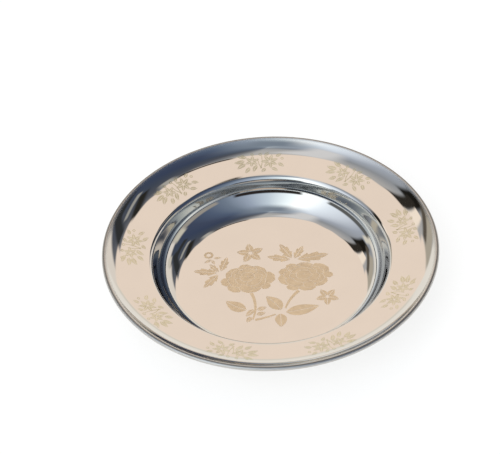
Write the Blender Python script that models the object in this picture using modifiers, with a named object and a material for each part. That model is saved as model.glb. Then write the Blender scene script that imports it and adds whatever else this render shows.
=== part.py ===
"""A stainless-steel soup plate: one drawn sheet, with its edge rolled round a stiffening wire.

The plate stands on the flat underside of its floor, at the origin, with +Z up.
"""

import math

import bpy

# Driving dimensions, in metres, and slopes above the horizontal, in degrees.
# A bend's radius is that of its hollow face, so it never depends on the sheet.
SHEET = 0.0007
FLOOR_RADIUS = 0.0632
CORNER_BEND = 0.0240
WALL_SLOPE = 72.0
WALL_LENGTH = 0.0058
SHOULDER_BEND = 0.0033
RIM_SLOPE = 12.5
RIM_WIDTH = 0.0188
LIP_BEND = 0.0323
LIP_SLOPE = 38.0
WIRE_DIAMETER = 0.0016
WIRE_CLEARANCE = 0.0003
CURL_GAP = 0.0005

# Facets: round the plate, along each bend of the sheet, and round the wire.
TURN_STEPS = 64
CORNER_STEPS = 8
SHOULDER_STEPS = 5
LIP_STEPS = 4
CURL_STEPS = 14
WIRE_SIDES = 8

# Distance under which the turned profile's ends are welded on the axis.
WELD = 0.00001

# The rolled edge follows from the wire that it wraps.
CURL_INNER = WIRE_DIAMETER / 2 + WIRE_CLEARANCE
CURL_OUTER = CURL_INNER + SHEET


def straight(path, length):
    """Carries the sheet's upper face on in a straight line."""
    radius, height, slope = path[-1]
    path.append((radius + length * math.cos(slope), height + length * math.sin(slope), slope))


def bend(path, bend_radius, end_slope, steps):
    """Bends the sheet's upper face to a new slope: upwards if that is more than it has, otherwise down."""
    radius, height, start = path[-1]
    turn = math.radians(end_slope) - start
    side = math.copysign(bend_radius, turn)
    for step in range(1, steps + 1):
        slope = start + turn * step / steps
        path.append((
            radius + side * (math.sin(slope) - math.sin(start)),
            height + side * (math.cos(start) - math.cos(slope)),
            slope,
        ))


def curl_turn():
    """Degrees that the edge rolls under, until its end lies CURL_GAP below the lip."""
    return 360.0 - math.degrees(math.acos((CURL_INNER - CURL_GAP) / CURL_OUTER))


def upper_face():
    """The food side as (radius, height, slope), from the axis to the end of the lip."""
    path = [(0.0, SHEET, 0.0)]
    straight(path, FLOOR_RADIUS)
    bend(path, CORNER_BEND, WALL_SLOPE, CORNER_STEPS)
    straight(path, WALL_LENGTH)
    bend(path, SHOULDER_BEND + SHEET, RIM_SLOPE, SHOULDER_STEPS)
    straight(path, RIM_WIDTH)
    bend(path, LIP_BEND, LIP_SLOPE, LIP_STEPS)
    return path


def below(station, depth):
    """The point that lies square to the sheet at this depth under its upper face."""
    radius, height, slope = station
    return radius + depth * math.sin(slope), height - depth * math.cos(slope)


def steel(name, colour, roughness):
    """A bare steel surface."""
    material = bpy.data.materials.new(name)
    material.use_nodes = True
    shader = material.node_tree.nodes["Principled BSDF"]
    shader.inputs["Base Color"].default_value = (*colour, 1.0)
    shader.inputs["Metallic"].default_value = 1.0
    shader.inputs["Roughness"].default_value = roughness
    return material


def place(piece, material, collection, axis):
    """Gives a piece its material, puts it in the plate's collection and hangs it on the plate's axis."""
    piece.data.materials.append(material)
    for other in piece.users_collection:
        other.objects.unlink(piece)
    collection.objects.link(piece)
    piece.parent = axis


def make_shell():
    """The plate: the section through the sheet, out along the top and back underneath, turned round the axis."""
    path = upper_face()
    bend(path, CURL_OUTER, LIP_SLOPE - curl_turn(), CURL_STEPS)
    outline = [below(station, 0.0) for station in path]
    outline += [below(station, SHEET) for station in reversed(path)]
    mesh = bpy.data.meshes.new("plate_shell")
    mesh.from_pydata(
        [(radius, 0.0, height) for radius, height in outline],
        [(point, point + 1) for point in range(len(outline) - 1)],
        [],
    )
    shell = bpy.data.objects.new("plate_shell", mesh)
    turn = shell.modifiers.new("turn", "SCREW")
    turn.axis = "Z"
    turn.angle = math.tau
    turn.steps = TURN_STEPS
    turn.render_steps = TURN_STEPS
    turn.use_smooth_shade = True
    turn.use_merge_vertices = True
    turn.merge_threshold = WELD
    return shell


def make_wire():
    """The round wire, in the middle of the rolled edge."""
    radius, height = below(upper_face()[-1], CURL_OUTER)
    bpy.ops.mesh.primitive_torus_add(
        major_radius=radius,
        minor_radius=WIRE_DIAMETER / 2,
        major_segments=TURN_STEPS,
        minor_segments=WIRE_SIDES,
        location=(0.0, 0.0, height),
    )
    wire = bpy.context.object
    wire.name = "edge_wire"
    wire.data.name = "edge_wire"
    wire.data.shade_smooth()
    return wire


def main():
    for old in list(bpy.data.objects):
        bpy.data.objects.remove(old, do_unlink=True)
    plate = bpy.data.collections.new("soup_plate")
    bpy.context.scene.collection.children.link(plate)
    axis = bpy.data.objects.new("plate_axis", None)
    plate.objects.link(axis)
    place(make_shell(), steel("polished_steel", (0.64, 0.62, 0.58), 0.08), plate, axis)
    place(make_wire(), steel("wire_steel", (0.45, 0.45, 0.46), 0.35), plate, axis)


main()
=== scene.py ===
import math

import bpy
from mathutils import Matrix, Quaternion, Vector


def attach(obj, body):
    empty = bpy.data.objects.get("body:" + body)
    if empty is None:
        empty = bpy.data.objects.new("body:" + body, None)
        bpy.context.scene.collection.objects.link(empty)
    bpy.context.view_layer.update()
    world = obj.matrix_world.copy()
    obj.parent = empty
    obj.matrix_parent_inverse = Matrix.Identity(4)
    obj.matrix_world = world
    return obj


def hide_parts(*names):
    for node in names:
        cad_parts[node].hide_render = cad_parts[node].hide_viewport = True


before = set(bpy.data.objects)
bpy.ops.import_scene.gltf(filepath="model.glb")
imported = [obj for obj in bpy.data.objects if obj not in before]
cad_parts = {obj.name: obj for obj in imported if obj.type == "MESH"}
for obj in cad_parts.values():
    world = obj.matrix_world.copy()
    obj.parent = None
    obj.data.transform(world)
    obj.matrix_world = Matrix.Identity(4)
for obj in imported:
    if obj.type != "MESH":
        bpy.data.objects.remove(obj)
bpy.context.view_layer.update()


# The plate itself: one disc of stainless steel, pressed to a flat floor, a curved corner, a steep wall,
# a shoulder and a sloping rim with an upturned lip. Its edge is rolled under round a wire, and it is buffed
# to a mirror.
MM = 0.001
SHEET = 0.7 * MM
FLOOR_RADIUS = 63.2 * MM
CORNER_BEND = 24.0 * MM
WALL_SLOPE = math.radians(72.0)
WALL_LENGTH = 5.8 * MM
SHOULDER_BEND = 4.0 * MM
RIM_SLOPE = math.radians(12.5)
RIM_WIDTH = 18.8 * MM
LIP_BEND = 32.3 * MM
LIP_SLOPE = math.radians(38.0)
CURL_OUTER = 1.8 * MM
CURL_END = math.radians(-251.5)
TURN_STEPS = 256
FLOOR_STEPS = 16
CORNER_STEPS = 40
WALL_STEPS = 3
SHOULDER_STEPS = 14
RIM_STEPS = 8
LIP_STEPS = 18
CURL_STEPS = 36
WELD = 0.002 * MM
SMOOTH_ANGLE = math.radians(40.0)


def straight(station, length, pieces):
    """Draws the sheet's upper face on in a straight line, from a (radius, height, slope)."""
    radius, height, slope = station
    step = Vector((math.cos(slope), 0.0, math.sin(slope))) * length / pieces
    for _ in range(pieces):
        bpy.ops.mesh.extrude_vertices_move(TRANSFORM_OT_translate={"value": step})
    return radius + length * math.cos(slope), height + length * math.sin(slope), slope


def bend(station, bend_radius, end_slope, pieces):
    """Spins the line's end to a new slope, round a centre above it to bend up, or below it to bend down."""
    radius, height, slope = station
    side = math.copysign(bend_radius, end_slope - slope)
    centre = (radius - side * math.sin(slope), 0.0, height + side * math.cos(slope))
    bpy.ops.mesh.spin(steps=pieces, angle=end_slope - slope, center=centre, axis=(0.0, 1.0, 0.0))
    return (
        radius + side * (math.sin(end_slope) - math.sin(slope)),
        height + side * (math.cos(slope) - math.cos(end_slope)),
        end_slope,
    )


bpy.ops.object.select_all(action="DESELECT")
bpy.ops.mesh.primitive_plane_add(size=SHEET, location=(0.0, 0.0, SHEET))
plate = bpy.context.object
plate.name = "mirror_plate"
bpy.ops.object.transform_apply(location=True)
bpy.ops.object.mode_set(mode="EDIT")
bpy.ops.mesh.select_mode(type="VERT")
bpy.ops.mesh.merge(type="CENTER")
floor_end = straight((0.0, SHEET, 0.0), FLOOR_RADIUS, FLOOR_STEPS)
wall_start = bend(floor_end, CORNER_BEND, WALL_SLOPE, CORNER_STEPS)
wall_end = straight(wall_start, WALL_LENGTH, WALL_STEPS)
rim_start = bend(wall_end, SHOULDER_BEND, RIM_SLOPE, SHOULDER_STEPS)
lip_start = straight(rim_start, RIM_WIDTH, RIM_STEPS)
lip_end = bend(lip_start, LIP_BEND, LIP_SLOPE, LIP_STEPS)
bend(lip_end, CURL_OUTER, CURL_END, CURL_STEPS)
bpy.ops.mesh.select_all(action="SELECT")
bpy.ops.mesh.spin(steps=TURN_STEPS, angle=math.tau, center=(0.0, 0.0, 0.0), axis=(0.0, 0.0, 1.0))
bpy.ops.mesh.select_all(action="SELECT")
bpy.ops.mesh.remove_doubles(threshold=WELD)
bpy.ops.mesh.normals_make_consistent(inside=False)
bpy.ops.object.mode_set(mode="OBJECT")
if min(plate.data.polygons, key=lambda face: face.center.xy.length).normal.z < 0.0:
    plate.data.flip_normals()
wall = plate.modifiers.new("wall", "SOLIDIFY")
wall.thickness = SHEET
wall.offset = -1.0
bpy.ops.object.modifier_apply(modifier="wall")
bpy.ops.object.shade_smooth_by_angle(angle=SMOOTH_ANGLE)


def linear(hex_colour, strength=1.0):
    """An sRGB hex colour as linear RGBA, times a strength."""
    shares = [int(hex_colour[at:at + 2], 16) / 255 for at in (1, 3, 5)]
    return (*(strength * (c / 12.92 if c <= 0.04045 else ((c + 0.055) / 1.055) ** 2.4) for c in shares), 1.0)


def node(tree, kind, inputs=(), **settings):
    """Adds a node with its settings. An input is a value, or another node's output to link."""
    new = tree.nodes.new(kind)
    for name, value in settings.items():
        setattr(new, name, value)
    for socket, value in dict(inputs).items():
        if isinstance(value, bpy.types.NodeSocket):
            tree.links.new(value, new.inputs[socket])
        else:
            new.inputs[socket].default_value = value
    return new


# Buffed stainless steel: a clear mirror with a faint haze where it was wiped, slow ripples from pressing,
# and rings from the buffing wheel, really about 0.1 mm apart, and drawn coarser here so that they show.
# The bead is duller, because the wheel hardly reaches it, and a dark line along its crown is a painted
# reflection.
RING = 1.4 * MM
RING_DEPTH = 0.0004 * MM
HAZE = 30.0 * MM
RIPPLE = 45.0 * MM
RIPPLE_DEPTH = 0.02 * MM
NOISE_LOW = 0.3
NOISE_HIGH = 0.7
CLEAR_ROUGHNESS = 0.02
HAZY_ROUGHNESS = 0.05
BEAD_ROUGHNESS = 0.5
BEAD_RADIUS = lip_end[0] + CURL_OUTER * math.sin(LIP_SLOPE)
DULL_LEAD = 2.0 * MM
CROWN_RADIUS = BEAD_RADIUS + 0.4 * MM
CROWN_DARK = 0.3 * MM
CROWN_FADE = 1.0 * MM
mirror_steel = bpy.data.materials.new("buffed_stainless_steel")
mirror_steel.use_nodes = True
tree = mirror_steel.node_tree
shader = tree.nodes["Principled BSDF"]
place = node(tree, "ShaderNodeTexCoord").outputs["Object"]
level = node(tree, "ShaderNodeVectorMath", {0: place, 1: (1.0, 1.0, 0.0)}, operation="MULTIPLY").outputs[0]
radius = node(tree, "ShaderNodeVectorMath", {0: level}, operation="LENGTH").outputs["Value"]
turns = node(tree, "ShaderNodeMath", {0: radius, 1: 1.0 / RING}, operation="MULTIPLY").outputs[0]
rings = node(
    tree, "ShaderNodeTexNoise", {"W": turns, "Scale": 1.0, "Detail": 2.0}, noise_dimensions="1D"
).outputs[0]
haze = node(tree, "ShaderNodeTexNoise", {"Vector": place, "Scale": 1.0 / HAZE, "Detail": 3.0}).outputs[0]
ripple = node(tree, "ShaderNodeTexNoise", {"Vector": place, "Scale": 1.0 / RIPPLE, "Detail": 0.0}).outputs[0]
tone = node(
    tree, "ShaderNodeMix", {0: haze, 6: linear("#CBC8C3"), 7: linear("#D1CEC9")}, data_type="RGBA"
).outputs[2]
gloss = node(
    tree,
    "ShaderNodeMapRange",
    {0: haze, 1: NOISE_LOW, 2: NOISE_HIGH, 3: CLEAR_ROUGHNESS, 4: HAZY_ROUGHNESS},
).outputs[0]
waves = node(tree, "ShaderNodeBump", {"Strength": 1.0, "Distance": RIPPLE_DEPTH, "Height": ripple}).outputs[0]
wheel = node(
    tree, "ShaderNodeBump", {"Strength": 1.0, "Distance": RING_DEPTH, "Height": rings, "Normal": waves}
).outputs[0]
bead = node(tree, "ShaderNodeMapRange", {0: radius, 1: lip_end[0] - DULL_LEAD, 2: BEAD_RADIUS}).outputs[0]
matt = node(tree, "ShaderNodeMix", {0: bead, 2: gloss, 3: BEAD_ROUGHNESS}).outputs[0]
# Painted reflection: a narrow band round the bead's crown is mixed to dark grey, standing in for the dark
# surroundings it would reflect.
aside = node(tree, "ShaderNodeMath", {0: radius, 1: CROWN_RADIUS}, operation="SUBTRACT").outputs[0]
aside = node(tree, "ShaderNodeMath", {0: aside}, operation="ABSOLUTE").outputs[0]
clear_of_painted_reflection = node(tree, "ShaderNodeMapRange", {0: aside, 1: CROWN_DARK, 2: CROWN_FADE}).outputs[0]
tone = node(tree, "ShaderNodeMix", {0: clear_of_painted_reflection, 6: linear("#8A8884"), 7: tone}, data_type="RGBA").outputs[2]
shader.inputs["Metallic"].default_value = 1.0
tree.links.new(tone, shader.inputs["Base Color"])
tree.links.new(matt, shader.inputs["Roughness"])
tree.links.new(wheel, shader.inputs["Normal"])
plate.data.materials.append(mirror_steel)
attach(plate, "root")
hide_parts("plate_shell")


# The wire in the rolled edge: a ring of drawn steel wire, dull grey, that stiffens the edge. Only the slit
# under the bead shows it. Its solid is right as it is, and gets the fine uneven grain of drawn wire.
GRAIN = 0.5 * MM
WIRE_SMOOTH = 0.28
WIRE_MATT = 0.42
drawn_wire = bpy.data.materials.new("drawn_steel_wire")
drawn_wire.use_nodes = True
tree = drawn_wire.node_tree
shader = tree.nodes["Principled BSDF"]
place = node(tree, "ShaderNodeTexCoord").outputs["Object"]
grain = node(tree, "ShaderNodeTexNoise", {"Vector": place, "Scale": 1.0 / GRAIN, "Detail": 2.0}).outputs[0]
tone = node(
    tree, "ShaderNodeMix", {0: grain, 6: linear("#A9A9AB"), 7: linear("#BEBEBF")}, data_type="RGBA"
).outputs[2]
gloss = node(tree, "ShaderNodeMapRange", {0: grain, 3: WIRE_SMOOTH, 4: WIRE_MATT}).outputs[0]
shader.inputs["Metallic"].default_value = 1.0
tree.links.new(tone, shader.inputs["Base Color"])
tree.links.new(gloss, shader.inputs["Roughness"])
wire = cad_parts["edge_wire"]
wire.data.materials.clear()
wire.data.materials.append(drawn_wire)


# The floor's ornament: a spray of two full blossoms with leaves and small flowers, etched into the steel,
# which leaves it matt. Each petal and leaf is a thin patch of etched skin, as flat as the floor under it.
ETCH_ABOVE = 0.035 * MM
ETCH_BELOW = 0.02 * MM


def patch(across, along, spot):
    """One etched patch: a flat grid, placed by spot(share across, share along), both from 0 to 1."""
    bpy.ops.mesh.primitive_grid_add(x_subdivisions=across, y_subdivisions=along, size=1.0)
    piece = bpy.context.object
    for corner in piece.data.vertices:
        corner.co.xy = spot(corner.co.x + 0.5, corner.co.y + 0.5)
    if piece.data.polygons[0].normal.z < 0.0:
        piece.data.flip_normals()
    return piece


def axis_of(base, tip, bow):
    """A bowed centre line from base to tip: its points and its sideways directions, by the share along it."""
    base, tip = Vector(base), Vector(tip)
    side = Vector((base.y - tip.y, tip.x - base.x))
    knee = (base + tip) / 2 + side * bow

    def spot(share):
        return base * (1 - share) ** 2 + knee * 2 * share * (1 - share) + tip * share ** 2

    def sideways(share):
        run = (knee - base) * (1 - share) + (tip - knee) * share
        return Vector((-run.y, run.x)).normalized()

    return spot, sideways


# A leaf is widest before its middle. Its teeth are cut and swept forward by shares of its half width.
RIB_GAP = 0.2 * MM
POINT = 0.06 * MM
LEAF_LEAN = 0.8
LEAF_FULLNESS = 0.85
LEAF_STEPS = 8
TOOTH_ROOT = 0.55
TOOTH_SWEEP = 0.3
TOOTH_STEPS = 5


def leaf(base, tip, width, bow=0.0, teeth=0):
    """A leaf as two halves beside its bare rib, each with so many teeth that point to its tip."""
    spot, sideways = axis_of(base, tip, bow)

    def half(side):
        def place(out, share):
            edge = width / 2 * math.sin(math.pi * share ** LEAF_LEAN) ** LEAF_FULLNESS
            if teeth:
                edge *= TOOTH_ROOT + (1 - TOOTH_ROOT) * (share * teeth % 1.0)
            edge = max(edge, RIB_GAP + POINT)
            sweep = TOOTH_SWEEP * edge * out if teeth else 0.0
            forward = Vector((sideways(share).y, -sideways(share).x)) * sweep
            return spot(share) + sideways(share) * side * (RIB_GAP + (edge - RIB_GAP) * out) + forward
        return patch(2, LEAF_STEPS + TOOTH_STEPS * teeth, place)

    return [half(1.0), half(-1.0)]


# Where a lobe starts and how wide it is, as shares of its length.
LOBE_START = 0.12
LOBE_WIDTH = 0.42
LOBE_TEETH = 3


def lobed_leaf(base, tips):
    """A leaf of toothed lobes that spread from its base."""
    made = []
    for tip in tips:
        width = LOBE_WIDTH * (tip - base).length
        made += leaf(base.lerp(tip, LOBE_START), tip, width, 0.0, LOBE_TEETH)
    return made


STEM_STEPS = 8


def stem(base, tip, width, bow=0.0):
    """A stem, which narrows to half its width at its tip."""
    spot, sideways = axis_of(base, tip, bow)

    def place(out, share):
        return spot(share) + sideways(share) * width * (out - 0.5) * (1 - share / 2)

    return [patch(1, STEM_STEPS, place)]


# The bare eye and the petals' widths together, as shares of a small flower's reach.
FLOWER_EYE = 0.12
FLOWER_FULLNESS = 2.8


def small_flower(centre, reach, turn, petals=5):
    """A flower of pointed petals round a bare eye."""
    made = []
    for petal in range(petals):
        angle = turn + math.tau * petal / petals
        way = Vector((math.cos(angle), math.sin(angle)))
        base = Vector(centre) + way * reach * FLOWER_EYE
        made += leaf(base, Vector(centre) + way * reach, reach * FLOWER_FULLNESS / petals)
    return made


# Petals differ in width and reach by these shares, and waves with these steps make them uneven without
# chance. Between petals the outline is notched, and each has small frills.
PETAL_GAP = 0.13 * MM
PETAL_UNEVEN = 0.35
PETAL_WAVE = 2.3
ROW_WAVE = 1.7
PETAL_REACH = 0.07
REACH_WAVE = 1.9
PETAL_NOTCH = 0.16
PETAL_FRILL = 0.012
FRILLS = 3
BLOSSOM_EYE = 0.4 * MM
PETAL_ACROSS = 14
PETAL_ALONG = 4


def blossom(centre, half_width, half_height, turn, rows, lean=0.0):
    """A full blossom: rows of (share of its size, petals), each of uneven petals round the row inside it."""
    centre = Vector(centre)
    starts = []
    for row, (_, petals) in enumerate(rows):
        waves = [math.sin(PETAL_WAVE * petal + ROW_WAVE * row + turn) for petal in range(petals)]
        widths = [1.0 + PETAL_UNEVEN * wave for wave in waves]
        passed = [sum(widths[:petal]) for petal in range(petals + 1)]
        starts.append([turn * (row + 1) + math.tau * width / passed[-1] for width in passed])

    def edge(row, angle, out):
        if row < 0:
            return centre + Vector((0.0, lean)) + Vector((math.cos(angle), math.sin(angle))) * BLOSSOM_EYE
        share, petals = rows[row]
        angle = starts[row][0] + (angle - starts[row][0]) % math.tau
        petal = max(index for index in range(petals) if starts[row][index] <= angle)
        along = (angle - starts[row][petal]) / (starts[row][petal + 1] - starts[row][petal])
        swell = 1.0 - PETAL_NOTCH + PETAL_NOTCH * math.sin(math.pi * along) ** 0.5
        swell += PETAL_FRILL * math.cos(FRILLS * math.tau * along)
        reach = share * swell * (1.0 + PETAL_REACH * math.sin(REACH_WAVE * petal + row + turn))
        spot = Vector((half_width * math.cos(angle), half_height * math.sin(angle))) * reach
        return centre + Vector((0.0, lean * (1 - share))) + spot + spot.normalized() * out

    made = []
    for row, (share, petals) in enumerate(rows):
        spare = PETAL_GAP / (share * half_width)
        for petal in range(petals):
            start = starts[row][petal] + spare
            sweep = starts[row][petal + 1] - spare - start

            def place(around, out):
                angle = start + sweep * around
                return edge(row - 1, angle, 2 * PETAL_GAP).lerp(edge(row, angle, 0.0), out)
            made.append(patch(PETAL_ACROSS, PETAL_ALONG, place))
    return made


# The bare middle, as a share of a bud's reach.
BUD_EYE = 0.5
BUD_STEPS = 20


def bud(centre, reach):
    """A round bud with a bare middle."""
    def place(around, out):
        way = Vector((math.cos(math.tau * around), math.sin(math.tau * around)))
        return Vector(centre) + way * reach * (BUD_EYE + (1 - BUD_EYE) * out)
    return [patch(BUD_STEPS, 1, place)]


def etched_skin(name, patches, lay):
    """Joins patches to one piece, lays every point on the plate by lay, and gives the skin its thickness."""
    bpy.ops.object.select_all(action="DESELECT")
    for piece in patches:
        piece.select_set(True)
    bpy.context.view_layer.objects.active = patches[0]
    bpy.ops.object.join()
    skin = bpy.context.object
    skin.name = name
    bpy.ops.object.mode_set(mode="EDIT")
    bpy.ops.mesh.select_all(action="SELECT")
    bpy.ops.mesh.remove_doubles(threshold=WELD)
    bpy.ops.object.mode_set(mode="OBJECT")
    for corner in skin.data.vertices:
        corner.co = lay(corner.co.x, corner.co.y)
    thick = skin.modifiers.new("thick", "SOLIDIFY")
    thick.thickness = ETCH_ABOVE + ETCH_BELOW
    thick.offset = (ETCH_ABOVE - ETCH_BELOW) / thick.thickness
    bpy.ops.object.modifier_apply(modifier="thick")
    bpy.ops.object.shade_smooth_by_angle(angle=SMOOTH_ANGLE)
    return skin


def at(x, y):
    """A place on the floor in millimetres from its middle."""
    return Vector((x, y)) * MM


left_rows = [(0.3, 3), (0.55, 5), (0.78, 6), (1.0, 8)]
right_rows = [(0.3, 3), (0.53, 5), (0.78, 7), (1.0, 9)]
spray = blossom(at(-17.8, 2.0), 19.5 * MM, 16.0 * MM, 0.35, left_rows, 3.0 * MM)
spray += blossom(at(24.6, 3.0), 21.0 * MM, 15.6 * MM, 0.6, right_rows, 2.0 * MM)
spray += small_flower(at(-15.2, 29.9), 10.5 * MM, 0.45)
spray += small_flower(at(41.1, -20.0), 9.0 * MM, 0.9)
spray += lobed_leaf(at(17.0, 20.6), [at(-2.6, 25.4), at(7.4, 38.6), at(25.0, 35.6), at(43.6, 25.6)])
spray += lobed_leaf(at(-38.6, 9.6), [at(-33.0, 26.4), at(-46.4, 19.4), at(-58.4, 12.6), at(-51.0, -5.4)])
spray += bud(at(-47.0, 29.4), 3.6 * MM)
spray += leaf(at(-45.0, 24.6), at(-50.5, 21.0), 2.4 * MM)
spray += leaf(at(-43.0, 25.8), at(-37.5, 26.4), 2.4 * MM)
spray += leaf(at(-44.6, 24.0), at(-42.5, 19.0), 2.2 * MM)
spray += stem(at(-15.5, -13.2), at(-15.0, -41.0), 2.6 * MM, 0.18)
spray += stem(at(20.0, -12.5), at(9.5, -30.5), 2.6 * MM, -0.12)
spray += leaf(at(-19.5, -30.5), at(-34.5, -20.6), 10.0 * MM, 0.12)
spray += leaf(at(-14.2, -30.5), at(-20.0, -37.5), 4.2 * MM)
spray += leaf(at(-11.4, -31.0), at(-4.6, -28.6), 4.0 * MM)
spray += leaf(at(-12.1, -36.0), at(-5.4, -34.2), 3.8 * MM)
spray += leaf(at(-16.2, -38.2), at(-19.6, -43.6), 3.8 * MM)
spray += stem(at(-13.2, -41.4), at(2.0, -36.4), 2.2 * MM, -0.06)
spray += leaf(at(6.2, -32.0), at(-4.5, -17.4), 10.5 * MM, -0.08)
spray += leaf(at(5.4, -36.0), at(5.6, -49.6), 9.0 * MM, 0.05)
spray += leaf(at(9.8, -34.6), at(34.5, -29.0), 10.5 * MM, -0.05)
floor_spray = etched_skin("floor_spray", spray, lambda x, y: (x, y, SHEET))


# Etched stainless steel: the acid leaves fine pits, so the skin is matt and a shade darker and warmer than
# the mirror. Real pits are about 0.05 mm wide, and are drawn coarser here so that they show.
PIT = 0.6 * MM
PIT_DEPTH = 0.02 * MM
BLOTCH = 6.0 * MM
DEPTH_LOW = 0.7
DEPTH_HIGH = 1.3


def etched_steel(name, deep, shallow, smooth, matt):
    """The etched skin's material, between two tones, and between its smoothest and its most matt spots."""
    material = bpy.data.materials.new(name)
    material.use_nodes = True
    tree = material.node_tree
    shader = tree.nodes["Principled BSDF"]
    place = node(tree, "ShaderNodeTexCoord").outputs["Object"]
    pits = node(tree, "ShaderNodeTexNoise", {"Vector": place, "Scale": 1.0 / PIT, "Detail": 2.0}).outputs[0]
    blotches = node(
        tree, "ShaderNodeTexNoise", {"Vector": place, "Scale": 1.0 / BLOTCH, "Detail": 3.0}
    ).outputs[0]
    depth = node(tree, "ShaderNodeMath", {0: pits, 1: blotches}, operation="ADD").outputs[0]
    share = node(tree, "ShaderNodeMapRange", {0: depth, 1: DEPTH_LOW, 2: DEPTH_HIGH}).outputs[0]
    tone = node(
        tree, "ShaderNodeMix", {0: share, 6: linear(deep), 7: linear(shallow)}, data_type="RGBA"
    ).outputs[2]
    gloss = node(
        tree, "ShaderNodeMapRange", {0: pits, 1: NOISE_LOW, 2: NOISE_HIGH, 3: smooth, 4: matt}
    ).outputs[0]
    grit = node(tree, "ShaderNodeBump", {"Strength": 0.5, "Distance": PIT_DEPTH, "Height": pits}).outputs[0]
    shader.inputs["Metallic"].default_value = 1.0
    tree.links.new(tone, shader.inputs["Base Color"])
    tree.links.new(gloss, shader.inputs["Roughness"])
    tree.links.new(grit, shader.inputs["Normal"])
    return material


floor_spray.data.materials.append(etched_steel("etched_stainless_steel", "#D1C0A5", "#E2D2B6", 0.42, 0.55))
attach(floor_spray, "root")


# The rim's ornament: nine small sprigs, etched like the floor's spray but more lightly, and evenly spaced
# round the rim. One is modelled flat and laid on the slope of rim and lip, and the others are turned copies.
SPRIGS = 9
SPRIG_RADIUS = 103.0 * MM
SPRIG_TURN = math.radians(-3.3)
SPRIG_STEM = 0.9 * MM
SPRIG_SHIFT = (SPRIG_RADIUS - rim_start[0]) / math.cos(RIM_SLOPE)


def on_rim(along, out):
    """A place on the rim or lip, so far along it and so far out up its slope from a sprig's middle."""
    run = SPRIG_SHIFT + out
    if run <= RIM_WIDTH:
        radius = rim_start[0] + run * math.cos(RIM_SLOPE)
        height = rim_start[1] + run * math.sin(RIM_SLOPE)
    else:
        slope = RIM_SLOPE + (run - RIM_WIDTH) / LIP_BEND
        radius = lip_start[0] + LIP_BEND * (math.sin(slope) - math.sin(RIM_SLOPE))
        height = lip_start[1] + LIP_BEND * (math.cos(RIM_SLOPE) - math.cos(slope))
    angle = along / SPRIG_RADIUS
    return radius * math.sin(angle), radius * math.cos(angle), height


sprig = small_flower(at(8.2, 0.4), 6.8 * MM, 0.4, 7)
sprig += small_flower(at(-5.4, 1.4), 5.4 * MM, 0.3, 6)
sprig += bud(at(1.4, 7.6), 1.3 * MM)
sprig += bud(at(-11.6, 7.4), 1.3 * MM)
sprig += bud(at(17.6, 3.4), 1.2 * MM)
sprig += leaf(at(14.6, -1.4), at(19.6, -4.4), 3.0 * MM, 0.1)
sprig += leaf(at(12.8, 5.0), at(17.0, 8.0), 2.6 * MM)
sprig += leaf(at(9.6, -6.2), at(15.0, -8.8), 3.0 * MM, 0.15)
sprig += leaf(at(5.0, -6.0), at(1.2, -9.2), 3.0 * MM)
sprig += leaf(at(4.4, 6.2), at(7.8, 9.4), 2.6 * MM, -0.1)
sprig += leaf(at(-1.6, -2.8), at(-5.6, -8.8), 3.4 * MM, -0.15)
sprig += leaf(at(-8.0, -4.0), at(-12.6, -8.6), 3.4 * MM, 0.1)
sprig += leaf(at(-10.6, -0.4), at(-17.8, -3.8), 3.6 * MM, -0.1)
sprig += leaf(at(-11.0, 2.6), at(-19.0, 2.4), 3.6 * MM, 0.1)
sprig += leaf(at(-8.8, 5.6), at(-15.8, 8.2), 3.0 * MM, 0.1)
sprig += leaf(at(-3.6, 6.6), at(-5.6, 9.4), 2.4 * MM)
sprig += stem(at(1.8, -5.6), at(-0.6, 4.2), SPRIG_STEM, 0.2)
sprig += stem(at(0.6, -6.0), at(2.2, 6.4), SPRIG_STEM, -0.15)
first_sprig = etched_skin("rim_sprig_1", sprig, on_rim)
light_etch = etched_steel("lightly_etched_stainless_steel", "#B9B6A0", "#CAC7B4", 0.16, 0.28)
first_sprig.data.materials.append(light_etch)
sprigs = [first_sprig]
for number in range(2, SPRIGS + 1):
    bpy.ops.object.select_all(action="DESELECT")
    first_sprig.select_set(True)
    bpy.context.view_layer.objects.active = first_sprig
    bpy.ops.object.duplicate()
    bpy.context.object.name = f"rim_sprig_{number}"
    sprigs.append(bpy.context.object)
for number, piece in enumerate(sprigs):
    piece.data.transform(Matrix.Rotation(-SPRIG_TURN - math.tau * number / SPRIGS, 4, "Z"))
    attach(piece, "root")


# The table top: a wide sheet of pale paper, with a faint tooth. It is lit from below as well, as a light
# table is, so that it stays white and the shadow on it faint.
TABLE_REACH = 60.0
TABLE_DROP = 0.02 * MM
TOOTH = 2.0 * MM
BACKLIGHT = 0.78
bpy.ops.object.select_all(action="DESELECT")
bpy.ops.mesh.primitive_plane_add(size=2 * TABLE_REACH, location=(0.0, 0.0, -TABLE_DROP))
table = bpy.context.object
table.name = "table_top"
paper = bpy.data.materials.new("pale_paper")
paper.use_nodes = True
tree = paper.node_tree
shader = tree.nodes["Principled BSDF"]
place = node(tree, "ShaderNodeTexCoord").outputs["Object"]
tooth = node(tree, "ShaderNodeTexNoise", {"Vector": place, "Scale": 1.0 / TOOTH, "Detail": 2.0}).outputs[0]
tone = node(
    tree, "ShaderNodeMix", {0: tooth, 6: linear("#FAFAF9"), 7: linear("#FCFCFB")}, data_type="RGBA"
).outputs[2]
shader.inputs["Roughness"].default_value = 0.9
shader.inputs["Specular IOR Level"].default_value = 0.1
tree.links.new(tone, shader.inputs["Base Color"])
ray = node(tree, "ShaderNodeLightPath").outputs
seen = ray["Is Camera Ray"]
for kind in ("Is Glossy Ray", "Is Transmission Ray"):
    seen = node(tree, "ShaderNodeMath", {0: seen, 1: ray[kind]}, operation="MAXIMUM").outputs[0]
share = node(tree, "ShaderNodeMath", {0: seen, 1: BACKLIGHT}, operation="MULTIPLY").outputs[0]
glow = node(tree, "ShaderNodeEmission", {"Color": linear("#FFFFFE"), "Strength": 1.0}).outputs[0]
lit = node(tree, "ShaderNodeMixShader", {0: share, 1: shader.outputs[0], 2: glow}).outputs[0]
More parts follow.
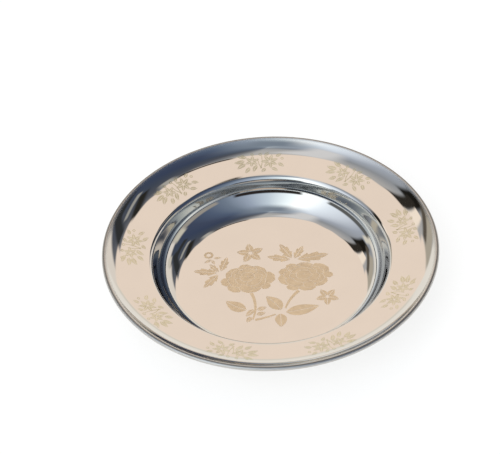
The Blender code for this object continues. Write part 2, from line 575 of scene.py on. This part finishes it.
tree.links.new(lit, tree.nodes["Material Output"].inputs["Surface"])
table.data.materials.append(paper)


# The studio: pale walls that deepen to blue on the right, plain cards, a warm card over the far side, and
# dark flags that give the mirror its dark lines. A direction is (degrees to the right of the far side,
# degrees up), and a row of the walls is a direction round the plate, a colour and a strength.
WALLS = [
    (-180, "#DBEDFF", 1.18), (-160, "#E8F6FF", 1.72), (-142, "#F4FAFF", 2.1), (-120, "#E5F1FF", 1.57),
    (-100, "#E4EFFF", 1.24), (-80, "#C3CDDE", 1.0), (-60, "#ABB1BA", 1.0), (-35, "#CDCDCF", 1.0),
    (8, "#D5D5D6", 1.0), (22, "#93969D", 1.0), (40, "#606571", 1.0), (62, "#4F596C", 1.0),
    (82, "#465370", 1.0), (100, "#4E5A76", 1.0), (120, "#627391", 1.0), (140, "#8798B0", 1.0),
    (160, "#BBCCE6", 1.0), (180, "#DBEDFF", 1.18),
]
world = bpy.data.worlds.new("studio")
bpy.context.scene.world = world
world.use_nodes = True
tree = world.node_tree
way = node(tree, "ShaderNodeTexCoord").outputs["Generated"]
parts = node(tree, "ShaderNodeSeparateXYZ", {0: way}).outputs
around = node(tree, "ShaderNodeMath", {0: parts[0], 1: parts[1]}, operation="ARCTAN2").outputs[0]
share = node(tree, "ShaderNodeMapRange", {0: around, 1: -math.pi, 2: math.pi}).outputs[0]
ramp = node(tree, "ShaderNodeValToRGB", {0: share})
stops = ramp.color_ramp.elements
for azimuth, colour, strength in WALLS[1:-1]:
    stops.new(azimuth / 360 + 0.5).color = linear(colour, strength)
stops[0].color = linear(*WALLS[0][1:])
stops[len(stops) - 1].color = linear(*WALLS[-1][1:])
look = ramp.outputs[0]


def toward(azimuth, elevation):
    """The direction at so many degrees to the right of the far side, and up."""
    azimuth, elevation = math.radians(azimuth), math.radians(elevation)
    level = math.cos(elevation)
    return Vector((level * math.sin(azimuth), level * math.cos(azimuth), math.sin(elevation)))


def card(look, facing, across, half_width, half_height, soft, colour, strength=1.0):
    """Hangs a flat card before the studio so far. Its half sizes and its soft edge are in degrees."""
    ahead = node(tree, "ShaderNodeVectorMath", {0: way, 1: facing}, operation="DOT_PRODUCT").outputs["Value"]
    shown = node(tree, "ShaderNodeMath", {0: ahead, 1: 0.0}, operation="GREATER_THAN").outputs[0]
    for direction, half in ((across, half_width), (facing.cross(across), half_height)):
        aside = node(
            tree, "ShaderNodeVectorMath", {0: way, 1: direction}, operation="DOT_PRODUCT"
        ).outputs["Value"]
        slant = node(tree, "ShaderNodeMath", {0: aside, 1: ahead}, operation="DIVIDE").outputs[0]
        far = node(tree, "ShaderNodeMath", {0: slant}, operation="ABSOLUTE").outputs[0]
        inner = math.tan(math.radians(half - soft / 2))
        outer = math.tan(math.radians(half + soft / 2))
        inside = node(
            tree,
            "ShaderNodeMapRange",
            {0: far, 1: inner, 2: outer, 3: 1.0, 4: 0.0},
            interpolation_type="SMOOTHSTEP",
        ).outputs[0]
        shown = node(tree, "ShaderNodeMath", {0: shown, 1: inside}, operation="MULTIPLY").outputs[0]
    tone = linear(colour, strength)
    return node(tree, "ShaderNodeMix", {0: shown, 6: look, 7: tone}, data_type="RGBA").outputs[2]


def level_card(look, azimuth, elevation, *sizes_and_colour):
    """A card that hangs level."""
    facing = toward(azimuth, elevation)
    return card(look, facing, facing.cross(toward(azimuth, elevation + 90.0)), *sizes_and_colour)


def strip(look, start, end, half_height, soft, colour, strength=1.0):
    """A long narrow card from one direction to another."""
    start, end = toward(*start), toward(*end)
    facing = (start + end).normalized()
    half_width = math.degrees(start.angle(end)) / 2
    return card(look, facing, (end - start).normalized(), half_width, half_height, soft, colour, strength)


# Plain cards overhead and low round the plate: direction, half width, half height, soft edge and colour.
look = level_card(look, -170, 79, 13, 13, 20, "#93A2B5")
look = level_card(look, -55, 75, 13, 5, 6, "#F8FAFF", 1.03)
look = level_card(look, 100, 12, 32, 7, 5, "#B7B3AD")
look = level_card(look, 84, 16.5, 8, 6.5, 6, "#EBE8DA")
look = level_card(look, 55, 9, 20, 11, 5, "#FFF9F3", 1.09)
look = level_card(look, 56, 19.5, 4.5, 4.5, 4, "#F0EBE0")
look = level_card(look, -52, 8, 24, 9, 6, "#FFFCF5", 1.11)
look = level_card(look, 0, 8, 38, 15, 6, "#FFFCF6", 1.17)
look = level_card(look, 38, 20, 12, 7, 5, "#FFF8F0", 1.07)
look = level_card(look, -40, 26, 12, 7, 5, "#CDC6B8")
look = level_card(look, 4, 17.5, 22, 2.5, 5, "#FEF8EC")
look = level_card(look, -70.5, 17, 4, 8, 4, "#FEFAED")
look = level_card(look, -98, 12.5, 25, 6, 5, "#6F7273")
look = level_card(look, 180, 9.5, 30, 8, 5, "#34302F")

# Flags and paler strips beside the far side, left and then right: start, end, half height, soft edge, colour.
look = strip(look, (-65, 26), (-51, 46), 6.5, 5, "#23211D")
look = strip(look, (-56, 40), (-26, 52), 3.2, 3, "#393530")
look = strip(look, (-62, 27), (-33, 33), 2.6, 3, "#6A635A")
look = strip(look, (-47, 37.5), (-24, 46), 2.8, 2, "#FFF2E4", 1.36)
look = strip(look, (26, 60), (46, 61), 2.0, 3, "#C9C7C2")
look = strip(look, (28, 49), (60, 51.5), 2.6, 3, "#32312E")
look = strip(look, (44, 43), (66, 47.5), 1.8, 2, "#BBBBB7")
look = strip(look, (33, 40), (62, 29), 3.6, 3, "#3B3E41")
look = strip(look, (52, 33), (76, 39), 3.2, 3, "#3B3E41")

# The warm card has stepped sides, so it hangs in five pieces: (degrees up, half width, half height).
# A last flag beside it darkens the seam of rim and lip on the far left.
WARM_CARD = [(30.5, 26, 11), (44, 20.5, 8), (51, 16.5, 7), (55, 14, 8), (57, 11.8, 12)]
for elevation, half_width, half_height in WARM_CARD:
    look = level_card(look, 0.5, elevation, half_width, half_height, 3, "#FFEEE0", 1.23)
look = strip(look, (12, 67.8), (31, 62.7), 1.5, 1.5, "#42413F")
tree.links.new(look, tree.nodes["Background"].inputs["Color"])


# Two broad lamps light the paper: one overhead, and one from the near side that fills the shade under the
# rim. They are flagged off the mirror, which shows only the walls and cards. A lamp's row is its name,
# energy, spread and turn in degrees.
LAMPS = [("overhead_lamp", 1.0, 120.0, (0.0, 0.0, 0.0)), ("near_lamp", 1.4, 60.0, (55.0, 0.0, -20.0))]
for name, energy, spread, turn in LAMPS:
    lamp_data = bpy.data.lights.new(name, "SUN")
    lamp_data.energy = energy
    lamp_data.angle = math.radians(spread)
    lamp = bpy.data.objects.new(name, lamp_data)
    lamp.rotation_euler = [math.radians(angle) for angle in turn]
    lamp.visible_glossy = False
    bpy.context.scene.collection.objects.link(lamp)


# The camera: a long lens that looks down on the plate from its near side. It is aimed a little past the
# plate's middle, which therefore stands a little below the middle of the picture.
CAMERA_REACH = 1.7
CAMERA_RISE = math.radians(44.387)
CAMERA_ROLL = math.radians(-2.79)
CAMERA_AIM = Vector((-14.92, 59.14, 0.7)) * MM
CAMERA_LENS = 162.9
camera_data = bpy.data.cameras.new("camera")
camera_data.sensor_width = 36.0
camera_data.sensor_fit = "HORIZONTAL"
camera_data.lens = CAMERA_LENS
camera = bpy.data.objects.new("camera", camera_data)
camera.location = (0.0, -CAMERA_REACH * math.cos(CAMERA_RISE), SHEET + CAMERA_REACH * math.sin(CAMERA_RISE))
sight = (CAMERA_AIM - camera.location).to_track_quat("-Z", "Y")
camera.rotation_euler = (sight @ Quaternion((0.0, 0.0, 1.0), CAMERA_ROLL)).to_euler()
bpy.context.scene.collection.objects.link(camera)
bpy.context.scene.camera = camera
bpy.context.scene.view_settings.view_transform = "Standard"
